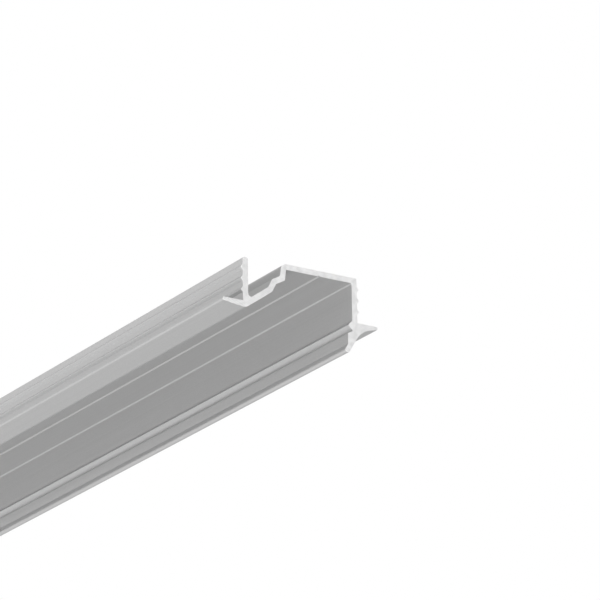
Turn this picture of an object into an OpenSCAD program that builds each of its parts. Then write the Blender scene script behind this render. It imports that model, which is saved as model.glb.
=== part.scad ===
// Recessed profile for LED tape, extruded in aluminium and cut to one length of bar.
// The bar lies along Y. Seen from its near end, +X is to the right and +Z points into the panel.
// Z is 0 on the back face, and X is 0 on the centre line of the tape bed.
// All sizes are in millimetres and all angles in degrees.

/* [Bar] */
// Length that the bar is cut to
length = 250; // [100:5:1000]

/* [Tape bed] */
// Clear width of the flat bed that the LED tape is stuck to
bed_w = 12.4; // [10.4:0.1:16.4]
// Thickness of the bed
bed_t = 0.95; // [0.75:0.05:1.4]
// Width of the scribed line along the middle of the bed
mark_w = 0.5; // [0.3:0.05:0.9]
// Depth of the scribed line
mark_d = 0.2; // [0.1:0.05:0.4]

/* [Body in the panel] */
// Width across the two outer walls, without their barbs
body_w = 21.4; // [19.5:0.1:28]
// Depth from the back face to the seat of the flanges on the panel
recess = 7.55; // [6:0.05:10]
// Thickness of the two outer walls
wall_t = 0.95; // [0.7:0.05:1.2]
// Distance that the free wall stops short of the back face
free_wall_drop = 0.15; // [0:0.05:0.6]

/* [Barbs] */
// Depth of the first barb's tip below the back face
barb_first = 1.9; // [1.4:0.05:2.5]
// Distance from one barb to the next
barb_pitch = 1.9; // [1.4:0.05:2.5]
// Bare wall left between the last barb and the flange
barb_margin = 0.5; // [0.3:0.05:1]
// Height that a barb stands out of the wall
barb_h = 0.4; // [0.2:0.02:0.6]
// Length of the flank that leads into the panel
barb_lead = 0.55; // [0.4:0.05:0.7]
// Length of the flank that grips the panel
barb_back = 0.45; // [0.3:0.05:0.6]

/* [Flanges] */
// Reach of the flange beside the free wall
left_flange_w = 3.75; // [2.5:0.05:6]
// Reach of the flange beside the foot
right_flange_w = 3.85; // [3:0.05:6]
// Thickness of the flanges at their rims
rim_t = 0.54; // [0.4:0.02:0.8]
// Slope of the left flange's underside
left_flange_angle = 8; // [4:0.5:12]
// Slope of the right flange's underside
right_flange_angle = 12; // [6:0.5:16]
// Radius of the cove between the right flange and the foot
cove_r = 4.2; // [3:0.1:5]

/* [Sloping wall] */
// Thickness of the wall that runs from the bed to the left flange
web_t = 0.95; // [0.75:0.05:1.2]
// Depth of the edge that borders the tape bed
edge_z = 2.82; // [2:0.02:3.2]
// Distance that this edge stands outside the bed
edge_flare = 0.23; // [0:0.01:0.5]
// Width of the shelf outside the edge
shelf_w = 1.65; // [1:0.05:2]
// Fall of the shelf
shelf_fall = 0.89; // [0.5:0.01:1.2]
// Width of the steep step below the shelf
step_w = 0.77; // [0.4:0.01:1]
// Fall of the step
step_fall = 1.44; // [0.8:0.02:1.6]
// Distance from the free wall's outer face to the line where this wall meets the left flange
root_inset = 0.45; // [0.2:0.05:0.8]

/* [Cover catch] */
// Depth of the catch's tip below the seat of the flanges
catch_drop = 0.51; // [0:0.01:1]
// Height that the catch stands out of the wall
catch_h = 0.75; // [0.4:0.05:1]
// Height of the groove below the catch
groove_h = 0.3; // [0.2:0.02:0.6]
// Fall of the ledge that closes the groove
ledge_fall = 0.43; // [0.3:0.01:0.6]
// Distance that the leg stands inside the wall
leg_inset = 0.87; // [0.6:0.01:1.2]

/* [Foot] */
// Height of the leg's inner face below the ledge
leg_h = 1.8; // [1.2:0.05:3]
// Slope of the foot
foot_angle = 59; // [54:0.5:66]
// Thickness of the foot
foot_t = 0.88; // [0.7:0.02:1.1]
// Length of the foot below the leg
foot_l = 1.35; // [0.9:0.05:2]

/* [Rounding] */
// Radius of the corner where the back face turns into the sloping wall
shoulder_r = 1.1; // [0.8:0.05:1.4]
// Radius of the other back corner
back_corner_r = 0.3; // [0.1:0.05:0.5]
// Radius of the fillet between the bed and the fixed wall
bed_fillet_r = 0.3; // [0.1:0.05:0.6]
// Radius in the bends of the sloping wall
bend_r = 0.45; // [0.2:0.05:0.6]
// Radius at the root of the left flange
root_r = 1.4; // [0.8:0.1:2]
// Radius in the floor of the open channel
channel_r = 0.5; // [0.3:0.05:0.8]
// Radius of the small edges
edge_r = 0.15; // [0.05:0.01:0.2]

/* [Hidden] */
// Largest turn between two points of an arc, and shortest chord between them
arc_step = 9;
arc_chord = 0.06;

// Fixed wall, between the tape bed and the right flange
wall_in_x = bed_w / 2;
wall_out_x = wall_in_x + wall_t;
// Free wall, at the far side of the open channel
free_out_x = wall_out_x - body_w;
free_in_x = free_out_x + wall_t;
// Underside of the flanges at their rims
rim_z = -recess - rim_t;
left_rim_x = free_out_x - left_flange_w;
right_rim_x = wall_out_x + right_flange_w;
// A rim or a wall's free end is rounded over almost its whole thickness
round_share = 0.46;
// Barbs that find room on an outer wall
barb_n = 1 + floor((recess - barb_first - barb_back - barb_margin) / barb_pitch);

// Point where the line through p at angle a meets the line through q at angle b
function meet(p, a, q, b) =
    let (d = q - p, s = (d[0] * sin(b) - d[1] * cos(b)) / sin(b - a))
    p + s * [cos(a), sin(a)];
// Direction of the line from p to q
function angle_to(p, q) = atan2(q[1] - p[1], q[0] - p[0]);
// Corner of the outline that runs beside the bend a, b, c at distance t on its left
function beside(a, b, c, t) =
    let (m = angle_to(a, b), n = angle_to(b, c), h = (n - m) / 2)
    b + t / cos(h) * [-sin(m + h), cos(m + h)];
// Corner of the outline, with its radius
function rounded(p, r) = [p[0], p[1], r];

// Lower face of the sloping wall, from the flange up to the bed
bed_end = [-bed_w / 2, -bed_t];
edge = [bed_end[0] - edge_flare, -edge_z];
shelf = edge - [shelf_w, shelf_fall];
step = shelf - [step_w, step_fall];
root = [
    free_out_x + root_inset,
    rim_z - (left_flange_w + root_inset) * tan(left_flange_angle)
];
// Upper face of the sloping wall, at its thickness from the lower one
edge_up = beside(shelf, edge, bed_end, web_t);
shoulder = meet(edge_up, angle_to(edge, bed_end), [0, 0], 0);
shelf_up = beside(step, shelf, edge, web_t);
step_up = beside(root, step, shelf, web_t);
channel = meet(step_up, angle_to(root, step), [free_in_x, 0], 90);

// Catch, groove and ledge for the cover's edge, inside the fixed wall
catch_z = -recess - catch_drop;
ledge_z = catch_z - catch_h - groove_h;
leg_x = wall_in_x - leg_inset;
leg_end = [leg_x, ledge_z - ledge_fall - leg_h];
// Foot, a lip that slants inwards below the leg
foot_in = leg_end - foot_l * [cos(foot_angle), sin(foot_angle)];
foot_out = foot_in + foot_t * [sin(foot_angle), -cos(foot_angle)];
cove = meet(foot_out, foot_angle, [right_rim_x, rim_z], right_flange_angle);

// Corners of one barb on a wall at x. Side is 1 where it stands out to the right, and -1 to the left
function barb(x, side, i) =
    let (z = -barb_first - i * barb_pitch)
    side > 0
    ? [[x, z - barb_back, 0], [x + barb_h, z, edge_r], [x, z + barb_lead, 0]]
    : [[x, z + barb_lead, 0], [x - barb_h, z, edge_r], [x, z - barb_back, 0]];

// The section is one closed outline, with the metal on its left
lower_left = [
    [left_rim_x, rim_z, rim_t * round_share],
    rounded(root, root_r),
    rounded(step, edge_r),
    rounded(shelf, bend_r),
    rounded(edge, edge_r),
    rounded(bed_end, edge_r),
];
bed_mark = [
    [-mark_w / 2, -bed_t, 0],
    [0, -bed_t + mark_d, 0],
    [mark_w / 2, -bed_t, 0],
];
cover_catch = [
    [wall_in_x, -bed_t, bed_fillet_r],
    [wall_in_x, catch_z + catch_h, edge_r],
    [wall_in_x - catch_h, catch_z, edge_r],
    [wall_in_x, catch_z - catch_h, 0],
    [wall_in_x, ledge_z, 0],
    [leg_x, ledge_z - ledge_fall, edge_r],
    rounded(leg_end, edge_r),
];
foot = [
    rounded(foot_in, foot_t * round_share),
    rounded(foot_out, foot_t * round_share),
];
right_flange = [
    rounded(cove, cove_r),
    [right_rim_x, rim_z, rim_t * round_share],
    [right_rim_x, -recess, rim_t * round_share],
    [wall_out_x, -recess, edge_r],
];
right_barbs = [for (i = [barb_n - 1 : -1 : 0]) each barb(wall_out_x, 1, i)];
back = [
    [wall_out_x, 0, back_corner_r],
    rounded(shoulder, shoulder_r),
];
upper_left = [
    rounded(edge_up, bend_r),
    rounded(shelf_up, edge_r),
    rounded(step_up, bend_r),
    rounded(channel, channel_r),
    [free_in_x, -free_wall_drop, wall_t * round_share],
    [free_out_x, -free_wall_drop, wall_t * round_share],
];
left_barbs = [for (i = [0 : barb_n - 1]) each barb(free_out_x, -1, i)];
left_flange = [
    [free_out_x, -recess, edge_r],
    [left_rim_x, -recess, rim_t * round_share],
];
outline = concat(
    lower_left, bed_mark, cover_catch, foot, right_flange,
    right_barbs, back, upper_left, left_barbs, left_flange
);

// Corner i of the outline, counted round from either end
function corner(i) = let (c = outline[(i + len(outline)) % len(outline)]) [c[0], c[1]];

// Points of the arc that rounds corner i, or the corner itself where its radius is zero
function arc_at(i) =
    let (
        r = outline[i][2],
        from = angle_to(corner(i - 1), corner(i)),
        onward = angle_to(corner(i), corner(i + 1)),
        sweep = (onward - from + 540) % 360 - 180,
        side = sign(sweep) * r,
        start = corner(i) - r * tan(abs(sweep) / 2) * [cos(from), sin(from)],
        centre = start + side * [-sin(from), cos(from)],
        n = ceil(abs(sweep) / max(arc_step, arc_chord / r * 180 / PI))
    )
    r == 0
    ? [corner(i)]
    : [for (k = [0 : n]) let (h = from + sweep * k / n) centre + side * [sin(h), -cos(h)]];

module section() {
    polygon([for (i = [0 : len(outline) - 1]) each arc_at(i)]);
}

module profile() {
    color([0.73, 0.73, 0.73])
        translate([0, length / 2, 0])
            rotate([90, 0, 0])
                linear_extrude(length) section();
}

profile();
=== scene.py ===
import math

import bmesh
import bpy
from mathutils import Matrix, Vector


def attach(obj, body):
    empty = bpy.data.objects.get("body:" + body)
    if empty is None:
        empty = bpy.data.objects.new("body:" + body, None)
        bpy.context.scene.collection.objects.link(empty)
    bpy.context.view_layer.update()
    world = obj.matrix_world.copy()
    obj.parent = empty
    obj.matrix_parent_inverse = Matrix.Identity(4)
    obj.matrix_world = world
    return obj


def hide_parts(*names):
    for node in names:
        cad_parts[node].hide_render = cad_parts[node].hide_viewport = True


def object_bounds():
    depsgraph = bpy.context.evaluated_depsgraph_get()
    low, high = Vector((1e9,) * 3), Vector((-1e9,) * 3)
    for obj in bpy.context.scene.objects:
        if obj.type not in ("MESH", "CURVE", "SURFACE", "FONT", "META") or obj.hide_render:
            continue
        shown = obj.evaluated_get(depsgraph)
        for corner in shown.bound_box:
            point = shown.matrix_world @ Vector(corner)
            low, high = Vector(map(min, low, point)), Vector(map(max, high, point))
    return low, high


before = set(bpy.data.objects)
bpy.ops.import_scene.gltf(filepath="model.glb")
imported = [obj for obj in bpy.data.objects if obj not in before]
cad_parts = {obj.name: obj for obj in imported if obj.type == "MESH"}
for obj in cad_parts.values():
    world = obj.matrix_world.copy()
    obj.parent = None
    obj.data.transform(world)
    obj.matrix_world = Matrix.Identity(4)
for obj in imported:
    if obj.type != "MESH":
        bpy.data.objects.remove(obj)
cad_low, cad_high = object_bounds()


# The bar is one length of a recessed profile for LED tape, extruded in aluminium through a single die.
# It is etched matt and anodised in natural silver, and then sawn to length, so both cut ends are bare.
# Its barbed walls are pressed into a groove that is milled in a panel, up to its two flanges.
end_y = cad_high.y
broken_edge = 0.00004
end_band = 0.0004
weld_distance = 0.000002
on_the_cut = 0.000001
flat_turn = math.radians(0.4)
crisp_turn = math.radians(28)

bpy.ops.object.select_all(action="DESELECT")
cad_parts["profile"].select_set(True)
bpy.context.view_layer.objects.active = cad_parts["profile"]
bpy.ops.object.duplicate()
bar = bpy.context.object
bar.name = "extruded_bar"
bar.parent = None
for mark in [key for key in bar.keys() if key.startswith("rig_")]:
    del bar[mark]

# The triangles of each flat face are joined to one face again
bpy.ops.object.mode_set(mode="EDIT")
bpy.ops.mesh.select_all(action="SELECT")
bpy.ops.mesh.remove_doubles(threshold=weld_distance)
bpy.ops.mesh.dissolve_limited(angle_limit=flat_turn)

# Both ends have a finely broken edge, and a narrow band beside it keeps its shading off the long faces
for end in (-1, 1):
    bpy.ops.mesh.select_all(action="SELECT")
    bpy.ops.mesh.bisect(plane_co=(0.0, end * (end_y - end_band), 0.0), plane_no=(0.0, 1.0, 0.0))
bpy.ops.mesh.select_mode(type="EDGE")
bpy.ops.mesh.select_all(action="DESELECT")
shape = bmesh.from_edit_mesh(bar.data)
for edge in shape.edges:
    edge.select = all(abs(abs(v.co.y) - end_y) < on_the_cut for v in edge.verts)
bmesh.update_edit_mesh(bar.data)
bpy.ops.mesh.bevel(offset=broken_edge, offset_type="OFFSET", segments=2, profile=0.5, affect="EDGES")

# The corners that run along the bar stay crisp, and its arcs are shaded smooth
shape = bmesh.from_edit_mesh(bar.data)
for edge in shape.edges:
    along = abs(edge.verts[0].co.y - edge.verts[1].co.y) > broken_edge
    edge.smooth = not along or edge.calc_face_angle() < crisp_turn
bmesh.update_edit_mesh(bar.data)
bpy.ops.object.mode_set(mode="OBJECT")
bpy.ops.object.select_all(action="DESELECT")
bar.select_set(True)
bpy.context.view_layer.objects.active = bar
bpy.ops.object.shade_smooth(keep_sharp_edges=True)
bpy.ops.object.modifier_add(type="WEIGHTED_NORMAL")
shading = bar.modifiers[-1]
shading.keep_sharp = True
shading.weight = 100
bpy.ops.object.modifier_apply(modifier=shading.name)


# Both finishes are fine noise, which is laid one over another, remapped to a tone, and engraved as relief
def noise(net, place, scale, detail, roughness):
    spots = net.nodes.new("ShaderNodeTexNoise")
    spots.inputs["Scale"].default_value = scale
    spots.inputs["Detail"].default_value = detail
    spots.inputs["Roughness"].default_value = roughness
    net.links.new(place, spots.inputs["Vector"])
    return spots.outputs["Fac"]


def remap(net, value, old, new):
    span = net.nodes.new("ShaderNodeMapRange")
    span.inputs["From Min"].default_value = old[0]
    span.inputs["From Max"].default_value = old[1]
    span.inputs["To Min"].default_value = new[0]
    span.inputs["To Max"].default_value = new[1]
    net.links.new(value, span.inputs["Value"])
    return span.outputs["Result"]


def lay_over(net, base, value, share):
    total = net.nodes.new("ShaderNodeMath")
    total.operation = "MULTIPLY_ADD"
    total.inputs[1].default_value = share
    net.links.new(value, total.inputs[0])
    net.links.new(base, total.inputs[2])
    return total.outputs["Value"]


def engrave(net, shader, height, strength, depth):
    bump = net.nodes.new("ShaderNodeBump")
    bump.inputs["Strength"].default_value = strength
    bump.inputs["Distance"].default_value = depth
    net.links.new(height, bump.inputs["Height"])
    net.links.new(bump.outputs["Normal"], shader.inputs["Normal"])


# Satin anodised aluminium: the die draws fine lines along the bar, and the etch leaves a grain between them
noise_span = (0.3, 0.7)
anodised = bpy.data.materials.new("anodised_aluminium")
anodised.use_nodes = True
net = anodised.node_tree
skin = net.nodes["Principled BSDF"]
skin.inputs["Metallic"].default_value = 0.35
place = net.nodes.new("ShaderNodeTexCoord").outputs["Object"]

drawn = net.nodes.new("ShaderNodeMapping")
drawn.inputs["Scale"].default_value = (1.0, 0.004, 1.0)
net.links.new(place, drawn.inputs["Vector"])
die_lines = noise(net, drawn.outputs["Vector"], scale=2600.0, detail=5.0, roughness=0.62)
grain = noise(net, place, scale=5200.0, detail=3.0, roughness=0.5)

silver = net.nodes.new("ShaderNodeMath")
silver.operation = "MULTIPLY"
net.links.new(remap(net, die_lines, noise_span, (0.495, 0.535)), silver.inputs[0])
net.links.new(remap(net, grain, noise_span, (0.95, 1.05)), silver.inputs[1])
net.links.new(silver.outputs["Value"], skin.inputs["Base Color"])
net.links.new(remap(net, die_lines, noise_span, (0.45, 0.55)), skin.inputs["Roughness"])
engrave(net, skin, lay_over(net, die_lines, grain, share=0.35), strength=0.17, depth=0.00004)

# Bare sawn aluminium: the blade's teeth leave shallow arcs and bright torn spots
sawn = bpy.data.materials.new("sawn_aluminium")
sawn.use_nodes = True
net = sawn.node_tree
skin = net.nodes["Principled BSDF"]
skin.inputs["Metallic"].default_value = 1.0
skin.inputs["Roughness"].default_value = 0.6
place = net.nodes.new("ShaderNodeTexCoord").outputs["Object"]

blade = net.nodes.new("ShaderNodeMapping")
blade.inputs["Location"].default_value = (0.11, 0.0, 0.19)
net.links.new(place, blade.inputs["Vector"])
teeth = net.nodes.new("ShaderNodeTexWave")
teeth.wave_type = "RINGS"
teeth.rings_direction = "Y"
teeth.inputs["Scale"].default_value = 900.0
teeth.inputs["Distortion"].default_value = 3.0
teeth.inputs["Detail"].default_value = 3.0
teeth.inputs["Detail Scale"].default_value = 0.6
net.links.new(blade.outputs["Vector"], teeth.inputs["Vector"])

torn = noise(net, place, scale=1700.0, detail=4.0, roughness=0.65)
marks = lay_over(net, torn, teeth.outputs["Fac"], share=0.25)
net.links.new(remap(net, marks, (0.35, 0.85), (0.72, 0.97)), skin.inputs["Base Color"])
engrave(net, skin, marks, strength=0.5, depth=0.00005)

bar.data.materials.clear()
bar.data.materials.append(anodised)
bar.data.materials.append(sawn)
for face in bar.data.polygons:
    face.material_index = 1 if abs(face.center.y) > end_y - broken_edge else 0

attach(bar, "root")
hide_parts("profile")


# The camera looks up at the bar from in front of its near end and from its left, through a long lens.
# Its place and its turn come from the bar's edges in the photo, which are all parallel in space.
camera_right = Vector((0.84431, -0.53561, -0.01632))
camera_up = Vector((-0.17040, -0.29723, 0.93948))
camera_place = Vector((-0.3469, -0.6590, -0.2368))
lens = bpy.data.cameras.new("camera")
lens.sensor_width = 36.0
lens.lens = 255.85
lens.clip_start = 0.05
lens.clip_end = 50.0
camera = bpy.data.objects.new("camera", lens)
bpy.context.scene.collection.objects.link(camera)
camera_back = camera_right.cross(camera_up).normalized()
camera_up = camera_back.cross(camera_right).normalized()
camera.matrix_world = Matrix.Translation(camera_place) @ Matrix(
    (camera_right.normalized(), camera_up, camera_back)
).transposed().to_4x4()
bpy.context.scene.camera = camera


# The floor is a plain pale sheet far below the bar, which is photographed from underneath.
# The camera and the metal see it as the white of the surroundings.
floor_size = 14.0
floor_z = -2.3
white_level = 1.0

bpy.ops.object.select_all(action="DESELECT")
bpy.ops.mesh.primitive_plane_add(size=floor_size, location=(0.0, 0.0, floor_z))
floor = bpy.context.object
floor.name = "floor"
bpy.ops.object.transform_apply(location=True, rotation=True, scale=True)


# What the camera sees, straight or through a reflection or a clear part, is 1, and all other light 0
def seen_directly(net):
    ray = net.nodes.new("ShaderNodeLightPath")
    seen = ray.outputs["Is Camera Ray"]
    for kind in ("Is Glossy Ray", "Is Transmission Ray"):
        either = net.nodes.new("ShaderNodeMath")
        either.operation = "MAXIMUM"
        net.links.new(seen, either.inputs[0])
        net.links.new(ray.outputs[kind], either.inputs[1])
        seen = either.outputs["Value"]
    return seen


paper = bpy.data.materials.new("pale_floor")
paper.use_nodes = True
net = paper.node_tree
sheet = net.nodes["Principled BSDF"]
sheet.inputs["Base Color"].default_value = (0.8, 0.8, 0.8, 1.0)
sheet.inputs["Roughness"].default_value = 0.9
white = net.nodes.new("ShaderNodeEmission")
white.inputs["Strength"].default_value = white_level
blend = net.nodes.new("ShaderNodeMixShader")
net.links.new(seen_directly(net), blend.inputs[0])
net.links.new(sheet.outputs["BSDF"], blend.inputs[1])
net.links.new(white.outputs["Emission"], blend.inputs[2])
net.links.new(blend.outputs["Shader"], net.nodes["Material Output"].inputs["Surface"])
floor.data.materials.append(paper)


# The studio is white all round, with soft lamps that shape the metal without glare.
# Its white looks brighter than the light that it sheds, so the lamps' shading isn't washed out.
shed_level = 0.42
softbox_distance = 2.0
softbox_size = 1.2

world = bpy.data.worlds.new("studio")
world.use_nodes = True
net = world.node_tree
air = net.nodes["Background"]
air.inputs["Color"].default_value = (1.0, 1.0, 1.0, 1.0)
net.links.new(remap(net, seen_directly(net), (0.0, 1.0), (shed_level, white_level)), air.inputs["Strength"])
bpy.context.scene.world = world

# Two softboxes stand at the bar's left, one level with it and one low, and a weak one hangs above it
for name, direction, power in (
    ("left_softbox", (-1.0, 0.1, -0.1), 9.2),
    ("low_left_softbox", (-0.72, 0.1, -0.68), 18.8),
    ("top_softbox", (-0.2, 0.1, 0.97), 4.0),
):
    away = Vector(direction).normalized()
    softbox = bpy.data.lights.new(name, "AREA")
    softbox.size = softbox_size
    softbox.energy = power
    lamp = bpy.data.objects.new(name, softbox)
    bpy.context.scene.collection.objects.link(lamp)
    lamp.location = away * softbox_distance
    lamp.rotation_mode = "QUATERNION"
    lamp.rotation_quaternion = away.to_track_quat("Z", "Y")

bpy.context.scene.view_settings.view_transform = "Standard"
